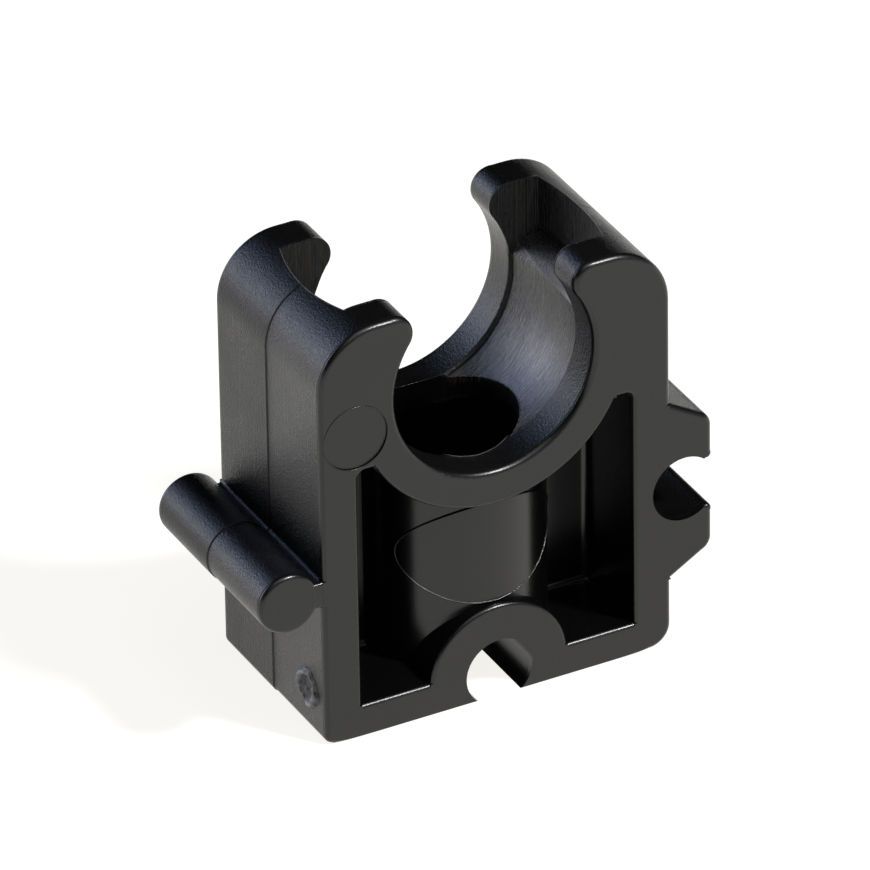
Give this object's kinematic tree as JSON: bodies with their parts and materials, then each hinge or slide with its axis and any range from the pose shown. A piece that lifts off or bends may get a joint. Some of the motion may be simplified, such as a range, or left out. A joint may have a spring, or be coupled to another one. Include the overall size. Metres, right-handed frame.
{
  "type": "tube clamp",
  "caption": "One-piece moulded snap-in clip that holds a 20 mm line over an M6 screw, with a pin and a socket at its sides to join clips in a row.",
  "frame": {"origin": "on the axis of the held line, half way through the clip's depth", "axes": "+Y along the held line, +Z out of the mouth and away from the foot, +X towards the coupling socket"},
  "size_m": [0.0459, 0.02, 0.0424],
  "materials": {
    "clip_plastic": "fine moulded grain"
  },
  "bodies": {
    "root": {"clip_body": "clip_plastic"}
  },
  "joints": []
}
